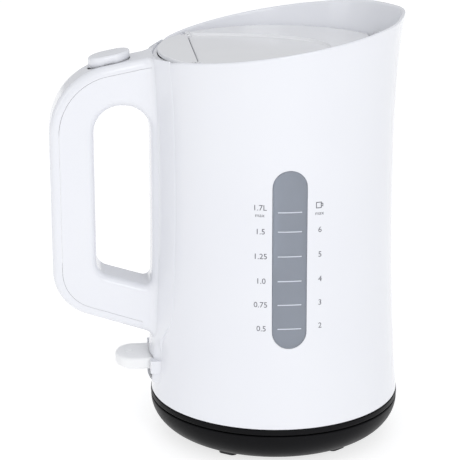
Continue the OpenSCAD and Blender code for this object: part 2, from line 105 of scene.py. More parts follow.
def grid(rows, cols, wrap_cols=False, wrap_rows=False, start=0):
    """Quads between neighbouring rows of points."""
    faces = []
    for i in range(rows if wrap_rows else rows - 1):
        for j in range(cols if wrap_cols else cols - 1):
            a, b = start + i * cols, start + (i + 1) % rows * cols
            c, d = j, (j + 1) % cols
            faces.append((a + c, a + d, b + d, b + c))
    return faces


def rounded(points, steps):
    """2D outline whose corners [u, v, radius] are rounded."""
    out = []
    n = len(points)
    for i, (u, v, r) in enumerate(points):
        b = np.array([u, v], float)
        a = np.array(points[i - 1][:2], float)
        c = np.array(points[(i + 1) % n][:2], float)
        if r <= 0:
            out.append(b)
            continue
        ua, uc = (a - b) / np.linalg.norm(a - b), (c - b) / np.linalg.norm(c - b)
        half = math.acos(max(-1, min(1, float(ua @ uc)))) / 2
        centre = b + (ua + uc) / np.linalg.norm(ua + uc) * r / math.sin(half)
        p0, p1 = b + ua * r / math.tan(half) - centre, b + uc * r / math.tan(half) - centre
        a0 = math.atan2(p0[1], p0[0])
        turn = (math.atan2(p1[1], p1[0]) - a0 + math.pi) % (2 * math.pi) - math.pi
        for k in range(steps + 1):
            t = a0 + turn * k / steps
            out.append(centre + r * np.array([math.cos(t), math.sin(t)]))
    return np.array(out)


def revolve(profile, n):
    """Vertices and faces of a solid of revolution from a closed (r, z) outline."""
    t = np.linspace(0, 2 * math.pi, n, endpoint=False)
    rows = [np.stack([r * np.cos(t), r * np.sin(t), np.full(n, z)], 1) for r, z in profile]
    return np.concatenate(rows), grid(len(profile), n, wrap_cols=True, wrap_rows=True)


def densify(outline, step):
    """Adds points so that no segment of a closed outline is longer than step."""
    out = []
    n = len(outline)
    for i in range(n):
        a, b = outline[i], outline[(i + 1) % n]
        k = max(1, int(math.ceil(np.linalg.norm(b - a) / step)))
        out += [a + (b - a) * j / k for j in range(k)]
    return np.array(out)


class Shape2D:
    """Signed distance to a closed polygon, negative inside."""

    def __init__(self, pts):
        self.a = np.asarray(pts, float)
        self.b = np.roll(self.a, -1, 0)

    def __call__(self, u, v):
        u, v = np.asarray(u, float), np.asarray(v, float)
        best = np.full(u.shape, 1e9)
        inside = np.zeros(u.shape, bool)
        for (ax, ay), (bx, by) in zip(self.a, self.b):
            dx, dy = bx - ax, by - ay
            length = dx * dx + dy * dy
            if length < 1e-12:
                continue
            t = np.clip(((u - ax) * dx + (v - ay) * dy) / length, 0, 1)
            best = np.minimum(best, (u - ax - t * dx) ** 2 + (v - ay - t * dy) ** 2)
            cross = ((ay > v) != (by > v)) & (u < (bx - ax) * (v - ay) / (by - ay + 1e-30) + ax)
            inside ^= cross
        d = np.sqrt(best)
        return np.where(inside, -d, d)


def smin(a, b, k):
    """Minimum of two fields, blended over a width of k."""
    h = np.clip(0.5 + 0.5 * (b - a) / k, 0, 1)
    return b + (a - b) * h - k * h * (1 - h)


def smax(a, b, k):
    return -smin(-a, -b, k)


def surface_net(field, lo, hi, step):
    """Closed quad mesh of field == 0, its points moved onto the surface with Newton steps."""
    axes = [np.arange(lo[i], hi[i] + step, step) for i in range(3)]
    X, Y, Z = np.meshgrid(*axes, indexing="ij")
    F = field(X, Y, Z)
    s = F < 0
    nx, ny, nz = F.shape
    corner = [(i, j, k) for i in (0, 1) for j in (0, 1) for k in (0, 1)]
    acc = np.zeros((nx - 1, ny - 1, nz - 1, 3))
    cnt = np.zeros((nx - 1, ny - 1, nz - 1))
    for ci in range(8):
        for cj in range(ci + 1, 8):
            p, q = corner[ci], corner[cj]
            diff = [p[m] != q[m] for m in range(3)]
            if sum(diff) != 1:
                continue
            fp = F[p[0]:nx - 1 + p[0], p[1]:ny - 1 + p[1], p[2]:nz - 1 + p[2]]
            fq = F[q[0]:nx - 1 + q[0], q[1]:ny - 1 + q[1], q[2]:nz - 1 + q[2]]
            hit = (fp < 0) != (fq < 0)
            t = np.where(hit, fp / np.where(hit, fp - fq, 1), 0)
            for m in range(3):
                acc[..., m] += np.where(hit, p[m] + t * (q[m] - p[m]), 0)
            cnt += hit
    cell = cnt > 0
    index = -np.ones(cell.shape, int)
    index[cell] = np.arange(cell.sum())
    where = np.argwhere(cell)
    pts = np.array(lo) + step * (where + acc[cell] / cnt[cell][:, None])
    faces = []
    for m in range(3):
        a, b = (m + 1) % 3, (m + 2) % 3
        sl0 = [slice(None)] * 3
        sl1 = [slice(None)] * 3
        sl0[m], sl1[m] = slice(0, -1), slice(1, None)
        change = s[tuple(sl0)] != s[tuple(sl1)]
        for e in np.argwhere(change):
            if e[a] == 0 or e[b] == 0 or e[a] >= F.shape[a] - 1 or e[b] >= F.shape[b] - 1:
                continue
            quad = []
            for da, db in ((0, 0), (1, 0), (1, 1), (0, 1)):
                c = e.copy()
                c[a] -= da
                c[b] -= db
                quad.append(index[tuple(c)])
            faces.append(quad if s[tuple(e)] else quad[::-1])
    h = 0.02
    for _ in range(3):
        x, y, z = pts[:, 0], pts[:, 1], pts[:, 2]
        f0 = field(x, y, z)
        g = np.stack([
            (field(x + h, y, z) - f0) / h,
            (field(x, y + h, z) - f0) / h,
            (field(x, y, z + h) - f0) / h,
        ], 1)
        n2 = np.maximum((g * g).sum(1), 0.05)
        pts = pts - np.clip(f0 / n2, -0.6, 0.6)[:, None] * g
    return pts, faces


# ---------------------------------------------------------------- materials
def nodes_of(name):
    mat = bpy.data.materials.new(name)
    mat.use_nodes = True
    return mat, mat.node_tree, mat.node_tree.nodes["Principled BSDF"]


def noise(nt, scale, detail=3.0, rough=0.5, stretch=None):
    """Noise texture in the object's own coordinates."""
    tex = nt.nodes.new("ShaderNodeTexNoise")
    tex.inputs["Scale"].default_value = scale
    tex.inputs["Detail"].default_value = detail
    tex.inputs["Roughness"].default_value = rough
    co = nt.nodes.new("ShaderNodeTexCoord")
    if stretch:
        mp = nt.nodes.new("ShaderNodeMapping")
        mp.inputs["Scale"].default_value = stretch
        nt.links.new(co.outputs["Object"], mp.inputs["Vector"])
        nt.links.new(mp.outputs["Vector"], tex.inputs["Vector"])
    else:
        nt.links.new(co.outputs["Object"], tex.inputs["Vector"])
    return tex


def vary(nt, fac, low, high, target):
    """Runs a factor between two values or two colours into a socket."""
    if isinstance(low, (int, float)):
        mr = nt.nodes.new("ShaderNodeMapRange")
        mr.inputs["From Min"].default_value = 0.3
        mr.inputs["From Max"].default_value = 0.7
        mr.inputs["To Min"].default_value = low
        mr.inputs["To Max"].default_value = high
        nt.links.new(fac, mr.inputs["Value"])
        nt.links.new(mr.outputs["Result"], target)
    else:
        ramp = nt.nodes.new("ShaderNodeValToRGB")
        ramp.color_ramp.elements[0].position = 0.3
        ramp.color_ramp.elements[1].position = 0.7
        ramp.color_ramp.elements[0].color = (*low, 1)
        ramp.color_ramp.elements[1].color = (*high, 1)
        nt.links.new(fac, ramp.inputs["Fac"])
        nt.links.new(ramp.outputs["Color"], target)


def bump(nt, bsdf, fac, strength, distance):
    b = nt.nodes.new("ShaderNodeBump")
    b.inputs["Strength"].default_value = strength
    b.inputs["Distance"].default_value = distance
    nt.links.new(fac, b.inputs["Height"])
    nt.links.new(b.outputs["Normal"], bsdf.inputs["Normal"])


def plastic(name, low, high, rough, peel, grain=900.0, coat=0.0, sss=0.0, spec=0.5):
    """Moulded plastic: slight colour drift, uneven gloss, and a fine surface ripple."""
    mat, nt, bsdf = nodes_of(name)
    drift = noise(nt, 9.0, 2.0)
    vary(nt, drift.outputs["Fac"], low, high, bsdf.inputs["Base Color"])
    gloss = noise(nt, 60.0, 4.0)
    vary(nt, gloss.outputs["Fac"], rough[0], rough[1], bsdf.inputs["Roughness"])
    fine = noise(nt, grain, 2.0)
    bump(nt, bsdf, fine.outputs["Fac"], peel, 0.0002)
    bsdf.inputs["IOR"].default_value = 1.5
    bsdf.inputs["Specular IOR Level"].default_value = spec
    bsdf.inputs["Coat Weight"].default_value = coat
    bsdf.inputs["Coat Roughness"].default_value = 0.08
    if sss:
        bsdf.inputs["Subsurface Weight"].default_value = sss
        bsdf.inputs["Subsurface Radius"].default_value = (0.004, 0.004, 0.0045)
    return mat


def metal(name, low, high, rough=(0.18, 0.34), stretch=(1, 1, 60), scale=30.0, depth=0.1):
    """Worked metal: streaks along one direction in colour, gloss and relief."""
    mat, nt, bsdf = nodes_of(name)
    streak = noise(nt, scale, 5.0, 0.6, stretch=stretch)
    vary(nt, streak.outputs["Fac"], low, high, bsdf.inputs["Base Color"])
    vary(nt, streak.outputs["Fac"], rough[0], rough[1], bsdf.inputs["Roughness"])
    bump(nt, bsdf, streak.outputs["Fac"], depth, 0.0002)
    bsdf.inputs["Metallic"].default_value = 1.0
    return mat


def rubber(name, low, high):
    mat, nt, bsdf = nodes_of(name)
    n = noise(nt, 40.0, 6.0, 0.7)
    vary(nt, n.outputs["Fac"], low, high, bsdf.inputs["Base Color"])
    vary(nt, n.outputs["Fac"], 0.62, 0.82, bsdf.inputs["Roughness"])
    fine = noise(nt, 1800.0, 3.0)
    bump(nt, bsdf, fine.outputs["Fac"], 0.25, 0.0002)
    return mat


def clear(name, tint, rough, weight):
    """Clear or milky plastic, with faint flow marks."""
    mat, nt, bsdf = nodes_of(name)
    flow = noise(nt, 25.0, 3.0, stretch=(1, 1, 0.25))
    vary(nt, flow.outputs["Fac"], tint[0], tint[1], bsdf.inputs["Base Color"])
    vary(nt, flow.outputs["Fac"], rough[0], rough[1], bsdf.inputs["Roughness"])
    fine = noise(nt, 500.0, 2.0)
    bump(nt, bsdf, fine.outputs["Fac"], 0.05, 0.0002)
    bsdf.inputs["Transmission Weight"].default_value = weight
    bsdf.inputs["IOR"].default_value = 1.45
    return mat


WHITE = plastic("gloss_white", (0.775, 0.785, 0.825), (0.795, 0.805, 0.84), (0.14, 0.20), 0.03,
                coat=0.35, sss=0.06)
WHITE_LID = plastic("lid_white", (0.785, 0.79, 0.81), (0.805, 0.81, 0.825), (0.15, 0.20), 0.015)
WHITE_IN = plastic("inner_white", (0.78, 0.785, 0.81), (0.80, 0.805, 0.83), (0.28, 0.38), 0.05)
GREY = plastic("grey_plastic", (0.62, 0.63, 0.65), (0.66, 0.67, 0.69), (0.35, 0.45), 0.08)
BLACK = plastic("satin_black", (0.004, 0.004, 0.0045), (0.007, 0.007, 0.008), (0.32, 0.44), 0.08, 1400.0,
                spec=0.07)
DARK = plastic("dark_plastic", (0.018, 0.018, 0.02), (0.03, 0.03, 0.033), (0.4, 0.5), 0.12)
CREAM = plastic("cream_plastic", (0.74, 0.70, 0.58), (0.80, 0.76, 0.64), (0.4, 0.52), 0.12)
LAMP = clear("lamp_glass", ((0.9, 0.35, 0.12), (0.95, 0.42, 0.18)), (0.08, 0.16), 0.8)
STEEL = metal("brushed_steel", (0.55, 0.55, 0.56), (0.68, 0.68, 0.69))
PLATE = metal("plate_steel", (0.60, 0.60, 0.61), (0.72, 0.72, 0.73), (0.16, 0.30), (1, 40, 1), 20.0, 0.06)
ALU = metal("cast_aluminium", (0.62, 0.63, 0.64), (0.74, 0.75, 0.76), (0.4, 0.6), (1, 1, 1), 200.0, 0.3)
SHEATH = metal("element_sheath", (0.30, 0.27, 0.23), (0.42, 0.38, 0.33), (0.45, 0.6), (1, 1, 1), 120.0, 0.2)
BRASS = metal("brass", (0.60, 0.42, 0.16), (0.74, 0.54, 0.24), (0.2, 0.34), (1, 1, 20), 60.0)
RED = rubber("red_silicone", (0.36, 0.06, 0.04), (0.44, 0.09, 0.06))
FOOT = rubber("foot_rubber", (0.012, 0.012, 0.013), (0.022, 0.022, 0.024))
WINDOW = clear("window_clear", ((0.56, 0.61, 0.70), (0.60, 0.65, 0.74)), (0.16, 0.22), 0.66)
PADDLE = clear("milky_clear", ((0.95, 0.955, 0.965), (0.97, 0.975, 0.98)), (0.30, 0.38), 0.12)
INK = plastic("scale_ink", (0.10, 0.10, 0.12), (0.14, 0.14, 0.16), (0.4, 0.5), 0.02)
LINE = plastic("scale_line", (0.62, 0.65, 0.72), (0.66, 0.69, 0.76), (0.4, 0.5), 0.02)

CAD_LOOKS = {
    "handle_screws": STEEL, "button_spring": STEEL, "latch_slider": GREY, "hinge_bracket": WHITE_LID,
    "hinge_pins": STEEL, "lid_liner": WHITE_IN, "lid_screws": STEEL, "lid_spring": STEEL,
    "filter_frame": GREY, "filter_mesh": STEEL, "heating_plate": PLATE, "heat_spreader": ALU,
    "heating_element": SHEATH, "plate_gasket": RED, "clamp_ring": GREY, "clamp_screws": STEEL,
    "control_unit": CREAM, "switch_bracket": WHITE_IN, "switch_pin": STEEL, "trip_rod": GREY,
    "indicator_lamp": LAMP, "steam_tube": GREY, "tube_grommet": RED, "bottom_screws": STEEL,
    "kettle_socket": DARK, "socket_contacts": BRASS, "base_bottom": BLACK, "base_connector": DARK,
    "connector_contacts": BRASS, "cord_bushing": DARK, "base_screws": STEEL, "base_feet": FOOT,
}
for node_name, look in CAD_LOOKS.items():
    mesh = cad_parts[node_name].data
    mesh.materials.clear()
    mesh.materials.append(look)

# ---------------------------------------------------------------- jug body
N = 288                                 # columns of points in a full turn
COLS = 10                               # columns on each side of a window's centre
STEP = 2 * math.pi / N
PATCH_Z = np.arange(60.0, 196.1, 4.0)   # rows of points beside the windows
LIP = 1.3                               # height of the rounded rim
SPOUT_HALF, SPOUT_PINCH = math.radians(36), 1.2
# crescent groove behind the rear cover: middle, half width, length of its ends, depth, height of its floor
GROOVE_AT, GROOVE_HALF, GROOVE_FADE = math.radians(182), math.radians(36), math.radians(14)
GROOVE_DROP, LEDGE_Z = 1.5, 241.9
FOOT_Z = JUG_Z0 + 0.6                   # where the foot's rounding begins
FLOOR_R, FLOOR_Z = 64.0, (52.5, 55.0)   # inner shelf that carries the heating plate


def pinch(theta, z):
    """The spout's sides draw in a little towards its tip."""
    a = np.abs((theta + math.pi) % (2 * math.pi) - math.pi)
    side = np.where(a < SPOUT_HALF, np.sin(np.pi * a / SPOUT_HALF) ** 2, 0)
    return SPOUT_PINCH * side * smooth01((z - 222) / 36)


def wall_point(theta, z, inset):
    """Point of the jug's wall, inset from its outer face."""
    r = jug_r(z) - inset - pinch(theta, z)
    return np.stack([r * np.cos(theta), r * np.sin(theta), z + 0 * theta], -1)


def rim_height(theta, inset):
    """Height of the rim: the sloping plane, dropped behind the rear cover to leave a crescent groove."""
    z = np.full(np.shape(theta), RIM_Z)
    for _ in range(12):
        z = rim_plane((jug_r(z) - inset - pinch(theta, z)) * np.cos(theta))
    off = np.abs((theta + 2 * math.pi) % (2 * math.pi) - GROOVE_AT)
    return z - GROOVE_DROP * smooth01((GROOVE_HALF - off) / GROOVE_FADE)


def stadium(bx, bz, half, z0, z1):
    """The point of an upright stadium that lies towards (bx, bz)."""
    zc = min(max(bz, z0 + half), z1 - half)
    if zc == bz:
        return math.copysign(half, bx), bz
    d = math.hypot(bx, bz - zc)
    return bx / d * half, zc + (bz - zc) / d * half


class Mesh:
    """Collects sheets of points as one mesh."""

    def __init__(self):
        self.v, self.f = [], []

    def add(self, rows, wrap=False):
        rows = np.asarray(rows, float)
        start = sum(len(x) for x in self.v)
        self.v.append(rows.reshape(-1, 3))
        self.f += grid(rows.shape[0], rows.shape[1], wrap_cols=wrap, start=start)

    def data(self):
        return np.concatenate(self.v), self.f


def window_patch(side, inset, rings):
    """Rings from a window's edge out to the rectangle that borders it, on one face of the wall.

    Each ring is (distance out from the edge, extra depth).
    """
    def on_wall(x, z, depth):
        r = float(jug_r(z)) - inset - depth
        return x, side * math.sqrt(r * r - x * x), z

    centre = side * math.pi / 2
    th = centre + np.arange(-COLS, COLS + 1) * STEP
    border = [(t, PATCH_Z[0]) for t in th[:-1]] + [(th[-1], z) for z in PATCH_Z[:-1]]
    border += [(t, PATCH_Z[-1]) for t in th[:0:-1]] + [(th[0], z) for z in PATCH_Z[:0:-1]]
    edge = []
    for t, z in border:
        x = float(jug_r(z) - inset) * math.cos(t)
        edge.append(((x, z), stadium(x, z, WIN_HALF, WIN_Z0, WIN_Z1)))
    rows = []
    for out, depth in rings:
        row = []
        for (bx, bz), (sx, sz) in edge:
            f = min(1.0, out / math.hypot(bx - sx, bz - sz))
            row.append(on_wall(sx + (bx - sx) * f, sz + (bz - sz) * f, depth))
        rows.append(row)
    for k in (0.3, 0.55, 0.78):
        rows.append([on_wall(sx + (bx - sx) * k, sz + (bz - sz) * k, 0.0) for (bx, bz), (sx, sz) in edge])
    rows.append([tuple(wall_point(np.array(t), np.array(z), inset)) for t, z in border])
    return rows


def jug_face(m, inset):
    """One face of the wall: full turns below and above the windows, and columns between them."""
    th = np.arange(N) * STEP
    m.add([wall_point(th, np.full(N, z), inset) for z in np.linspace(FOOT_Z, PATCH_Z[0], 14)], wrap=True)
    quarter = N // 4
    for first in (quarter + COLS, 3 * quarter + COLS):
        cols = (first + np.arange(N // 2 - 2 * COLS + 1)) * STEP
        m.add([wall_point(cols, np.full(len(cols), z), inset) for z in PATCH_Z])
    start = PATCH_Z[-1]
    end = rim_height(th, inset) - LIP
    m.add([wall_point(th, start + (end - start) * k, inset) for k in np.linspace(0, 1, 26)], wrap=True)


def make_jug():
    """Jug: both faces of the wall, rounded rim and foot, and the shelf for the heating plate."""
    m = Mesh()
    jug_face(m, 0.0)
    jug_face(m, WALL)
    outer = [(0.0, 1.2), (0.0, 0.35), (0.1, 0.1), (0.35, 0.0), (0.8, 0.0)]
    inner = [(0.0, -1.2), (0.0, -0.3), (0.3, 0.0), (0.8, 0.0)]
    for side in (-1, 1):
        m.add(window_patch(side, 0.0, outer), wrap=True)
        m.add(window_patch(side, WALL, inner), wrap=True)
    th = np.arange(N) * STEP
    half = WALL / 2
    zo, zi = rim_height(th, 0.0), rim_height(th, WALL)
    rim, foot = [], []
    for k in np.linspace(0, math.pi, 13):
        u = half - half * math.cos(k)
        rim.append(wall_point(th, zo + (zi - zo) * u / WALL - LIP * (1 - math.sin(k)), u))
    for k in np.linspace(0, math.pi, 9):
        u = half - half * math.cos(k)
        foot.append(wall_point(th, np.full(N, FOOT_Z - 0.55 * math.sin(k)), u))
    m.add(rim, wrap=True)
    m.add(foot, wrap=True)
    bore = [np.stack([FLOOR_R * np.cos(th), FLOOR_R * np.sin(th), np.full(N, z)], -1) for z in FLOOR_Z]
    for z, ring in zip(FLOOR_Z, bore):
        level = np.full(N, z)
        m.add([wall_point(th, level, WALL - 0.3), wall_point(th, level, WALL + 3), ring], wrap=True)
    m.add(bore, wrap=True)
    # shallow ledge that closes the crescent groove behind the rear cover
    arc = math.pi + np.radians(np.linspace(-44, 44, 61))
    top = np.minimum(rim_height(arc, WALL), LEDGE_Z) - 0.1
    r0, r1, thick = 73.3, 75.2, 2.5
    m.add([np.stack([r * np.cos(arc), r * np.sin(arc), top - drop], -1)
           for r, drop in ((r1, 0), (r0 + 0.2, 0), (r0, 0.2), (r0, thick), (r1, thick))])
    # openings for the switch and for the latch slider
    verts, faces = m.data()
    centre = np.array([verts[list(f)].mean(0) for f in faces])
    r = np.hypot(centre[:, 0], centre[:, 1])
    rear = (centre[:, 0] < -60) & (r > 68)
    hole = np.zeros(len(faces), bool)
    for half, z0, z1 in ((16.5, 31, 49), (6.5, 225, 231.5)):
        hole |= rear & (np.abs(centre[:, 1]) < half) & (centre[:, 2] > z0) & (centre[:, 2] < z1)
    kept = [f for f, h in zip(faces, hole) if not h]
    build("jug_body", verts, kept, WHITE, "kettle", ["body_shell"])


def make_window(side, node):
    """The pane: a clear strip that fills the opening, with a flange inside the wall."""
    def sheet(grow, inset):
        """Stadium that follows the jug, wider than the opening by grow all round."""
        half, z0, z1 = WIN_HALF + grow, WIN_Z0 - grow, WIN_Z1 + grow
        cols, rows = 14, 60
        out = []
        for i in range(rows + 1):
            f = i / rows
            z = z0 + (z1 - z0) * (0.5 - 0.5 * math.cos(math.pi * f))
            zc = min(max(z, z0 + half), z1 - half)
            w = math.sqrt(max(half * half - (z - zc) ** 2, 0.0004))
            row = []
            for j in range(cols + 1):
                x = w * (2 * j / cols - 1)
                r = float(jug_r(z)) - inset
                row.append((x, side * math.sqrt(r * r - x * x), z))
            out.append(row)
        return np.array(out)

    def ring(a):
        """Border points of a sheet, in order."""
        return np.concatenate([a[0], a[1:, -1], a[-1, -2::-1], a[-2:0:-1, 0]])

    m = Mesh()
    # front face, its soft edge, the pane's side, and the flange behind the wall
    sheets = [sheet(-0.35, 0.2), sheet(-0.08, 0.42), sheet(-0.08, WALL + 0.05),
              sheet(4.0, WALL + 0.05), sheet(3.8, WALL + 1.4)]
    m.add(sheets[0])
    rings = [ring(a) for a in sheets]
    for a, b in zip(rings, rings[1:]):
        m.add([a, b], wrap=True)
    m.add(sheets[-1])
    verts, faces = m.data()
    build("water_" + node, verts, faces, WINDOW, "kettle", [node])


make_jug()
make_window(-1, "window_left")
make_window(1, "window_right")

# ---------------------------------------------------------------- handle
SADDLE_X, SADDLE_OUT = 20.5, 3.3             # axis of the saddle's arc, and its height over the jug
FLANK_OUT, FLANK = 0.3, math.radians(29)     # the flanks beside it
SADDLE_HALF = 34.5
STRAP_EDGE, ROOT_BLEND = 4.6, 5.0            # rounding of the grip's edges, fillet to the saddle
SLOT_HALF, SLOT_Z = 15.5, (31.6, 47.2)       # slot for the switch paddle
BUTTON_X, BUTTON_R = (-106.0, -100.4), 10.0  # stadium of the release button, seen from above


def outline(d):
    """Corners of the handle's side outline, d inside its outer face."""
    x = -HANDLE_X + d
    dt, dl = d / math.cos(math.atan(TOP_SLOPE)), d / math.cos(math.atan(LOW_SLOPE))
    return [(-60, top_line(-60) - dt, 0), (x, top_line(x) - dt, 44 - d),
            (x, low_line(x) + dl, 30 - d), (-60, low_line(-60) + dl, 0)]


OUTER = Shape2D(rounded(outline(0), 16))
OPENING = Shape2D(rounded([
    (-78.3, 210.4, 17), (-113.7, 210.4, 17), (-113.7, 103.5, 10), (-78.3, 92.5, 5)], 12))
SHIELD = Shape2D(rounded([
    (SADDLE_HALF, 262, 0), (SADDLE_HALF, 78, 22), (22.5, 60, 12), (22.5, 31.2, 3),
    (-22.5, 31.2, 3), (-22.5, 60, 12), (-SADDLE_HALF, 78, 22), (-SADDLE_HALF, 262, 0)], 10))


def rounded_slab(d2, y, half, r):
    """A flat 2D shape given its thickness, with its edges rounded by r."""
    a, b = d2 + r, np.abs(y) - half + r
    return np.minimum(np.maximum(a, b), 0) + np.hypot(np.maximum(a, 0), np.maximum(b, 0)) - r


def handle_field(x, y, z):
    """Distance field of the whole handle, as a grid or as a list of points."""
    if x.ndim == 3:
        d_out = OUTER(x[:, 0, :], z[:, 0, :])[:, None, :] + 0 * y
        d_open = OPENING(x[:, 0, :], z[:, 0, :])[:, None, :] + 0 * y
        d_shield = SHIELD(y[0], z[0])[None] + 0 * x
    else:
        d_out, d_open, d_shield = OUTER(x, z), OPENING(x, z), SHIELD(y, z)
    zc = np.clip(z, JUG_Z0, 268)
    strap = rounded_slab(smax(d_out, -d_open, 0.5), y, HANDLE_W / 2, STRAP_EDGE)
    # the hand side of the saddle is an arc, its flanks run flatter to the seam
    arc = np.hypot(x + SADDLE_X, y) - (jug_r(zc) + SADDLE_OUT - SADDLE_X)
    flank = -x * math.cos(FLANK) + np.abs(y) * math.sin(FLANK) - (jug_r(zc) + FLANK_OUT)
    saddle = smax(smax(arc, flank, 1.2) + 0.2, d_shield + 3.0 + 4.5 * smooth01((68 - z) / 8), 0.8)
    saddle = np.maximum(saddle, x + 50)
    body = smin(strap, saddle, ROOT_BLEND)
    body = np.maximum(body, -(np.hypot(x, y) - jug_r(zc) + 1.2 - 1.0 * smooth01((z - 231) / 5)))
    rim = (z - rim_plane(x)) * math.cos(math.atan(RIM_TAN)) + 0.3
    return smax(body, rim, 1.0)


def cutter(name, verts, faces):
    """Closed solid for boolean(), which is never left in the scene."""
    mesh = bpy.data.meshes.new(name)
    mesh.from_pydata(((np.array(verts) + (0, 0, DATUM)) * MM).tolist(), [], faces)
    bm = bmesh.new()
    bm.from_mesh(mesh)
    bmesh.ops.recalc_face_normals(bm, faces=bm.faces)
    bm.to_mesh(mesh)
    bm.free()
    return bpy.data.objects.new(name, mesh)


def prism(name, pts, y0, y1):
    """Closed solid of a side outline in X and Z, from y0 to y1."""
    n = len(pts)
    verts = [(p[0], y0, p[1]) for p in pts] + [(p[0], y1, p[1]) for p in pts]
    faces = [tuple(range(n)), tuple(range(2 * n - 1, n - 1, -1))]
    faces += [(i, i + n, (i + 1) % n + n, (i + 1) % n) for i in range(n)]
    return cutter(name, verts, faces)


def column(name, pts, z0, z1):
    """Closed upright solid of a plan outline in X and Y."""
    n = len(pts)
    verts = [(p[0], p[1], z0) for p in pts] + [(p[0], p[1], z1) for p in pts]
    faces = [tuple(range(n - 1, -1, -1)), tuple(range(n, 2 * n))]
    faces += [(i, (i + 1) % n, (i + 1) % n + n, i + n) for i in range(n)]
    return cutter(name, verts, faces)


def boolean(obj, tools):
    """Cuts (DIFFERENCE) or keeps (INTERSECT) with each tool, and leaves no modifier behind."""
    scene = bpy.context.scene
    for tool, kind in tools:
        scene.collection.objects.link(tool)
        mod = obj.modifiers.new("cut", "BOOLEAN")
        mod.operation = kind
        mod.solver = "EXACT"
        mod.object = tool
        bpy.context.view_layer.update()
        dg = bpy.context.evaluated_depsgraph_get()
        done = bpy.data.meshes.new_from_object(obj.evaluated_get(dg))
        obj.modifiers.remove(mod)
        old = obj.data
        obj.data = done
        bpy.data.meshes.remove(old)
        scene.collection.objects.unlink(tool)


def smooth_by_angle(obj, degrees):
    """Marks the edges that bend more than this as sharp."""
    bm = bmesh.new()
    bm.from_mesh(obj.data)
    limit = math.radians(degrees)
    for e in bm.edges:
        e.smooth = len(e.link_faces) != 2 or e.calc_face_angle(0) < limit
    for f in bm.faces:
        f.smooth = True
    bm.to_mesh(obj.data)
    bm.free()


def plan_stadium(x0, x1, r, n):
    """Plan outline of a stadium along X, with n steps in each round end."""
    pts = []
    for x, first in ((x1, -math.pi / 2), (x0, math.pi / 2)):
        for k in range(n + 1):
            a = first + math.pi * k / n
            pts.append((x + r * math.cos(a), r * math.sin(a)))
    return pts


def cover_split(d, back_top, back_low):
    """Outline of the handle's inner part: everything inside the seam, and the zone near the jug."""
    inner = rounded(outline(d), 16)
    mid = [tuple(p) for p in inner if p[0] < (back_top if p[1] > 150 else back_low) - 0.5]
    top = [(-30.0, 262.0), (back_top, 262.0), (back_top, top_line(back_top) - d * 1.02)]
    low = [(back_low, low_line(back_low) + d * 1.054), (back_low, 20.0), (-30.0, 20.0)]
    return np.array(top + mid + low)


def saddle_x(y, z):
    """How far the saddle's face lies behind the axis."""
    r = jug_r(z)
    arc = SADDLE_X + np.sqrt(np.maximum((r + SADDLE_OUT - SADDLE_X) ** 2 - y * y, 1))
    flank = (r + FLANK_OUT - np.abs(y) * math.sin(FLANK)) / math.cos(FLANK)
    full = smin(arc, flank, 1.0)
    face = np.sqrt(np.maximum(r * r - y * y, 1)) + 0.12
    soft = 1 - smooth01((64 - z) / 14) * (1 - smooth01((22.5 - np.abs(y)) / 7))
    return face + (full - face) * soft


def saddle_patch(m):
    """The saddle's face as one sheet that ends in a fine step on the jug."""
    def half_width(z):
        lo, hi = 0.0, SADDLE_HALF
        if SHIELD(np.array([hi - 0.001]), np.array([z]))[0] < 0:
            return hi
        for _ in range(24):
            mid = (lo + hi) / 2
            lo, hi = (mid, hi) if SHIELD(np.array([mid]), np.array([z]))[0] < 0 else (lo, mid)
        return lo

    levels = np.concatenate([31.25 + 3 * (1 - np.cos(np.linspace(0, math.pi / 2, 8))),
                             np.linspace(34.6, 84, 44), np.linspace(85, 244, 90)])
    n = 61
    u = 0.5 * np.sin(np.linspace(-math.pi / 2, math.pi / 2, n)) + 0.5 * np.linspace(-1, 1, n)
    rows = []
    for z in levels:
        w = half_width(z)
        y = u * w
        zz = np.minimum(np.full(n, z), rim_plane(-saddle_x(y, np.full(n, z))) - 0.35)
        row = np.stack([-saddle_x(y, zz), y, zz], 1)
        edges = []
        for s in (-1, 1):
            side = s * np.array([w + 0.12, w + 0.12])
            r = float(jug_r(zz[0])) + np.array([0.12, -0.6])
            e = np.stack([-np.sqrt(r * r - side * side), side, np.full(2, zz[0])], 1)
            edges.append(e[::-1] if s < 0 else e)
        rows.append(np.concatenate([edges[0], row, edges[1]]))
    first = rows[0].copy()
    first[:, 2] -= 0.05
    r = float(jug_r(31.2)) - 0.6
    first[:, 0] = -np.sqrt(r * r - first[:, 1] ** 2)
    m.add([first] + rows)
    # cheeks beside the paddle
    for s in (-1, 1):
        cheek = []
        for inset, x in ((0.0, -70.0), (0.0, -80.7), (0.15, -81.05), (0.5, -81.2), (3.3, -81.2)):
            y0, y1 = 15.6 + inset, 22.4 - inset
            z0, z1 = 38.3 + inset, 46.3 - inset
            corners = [(y0, z0), (y1, z0), (y1, z1), (y0, z1), (y0, z0)]
            ring = []
            for a, b in zip(corners, corners[1:]):
                for t in np.linspace(0, 1, 10)[:-1]:
                    ring.append((x, s * (a[0] + (b[0] - a[0]) * t), a[1] + (b[1] - a[1]) * t))
            cheek.append(ring)
        m.add(cheek, wrap=True)


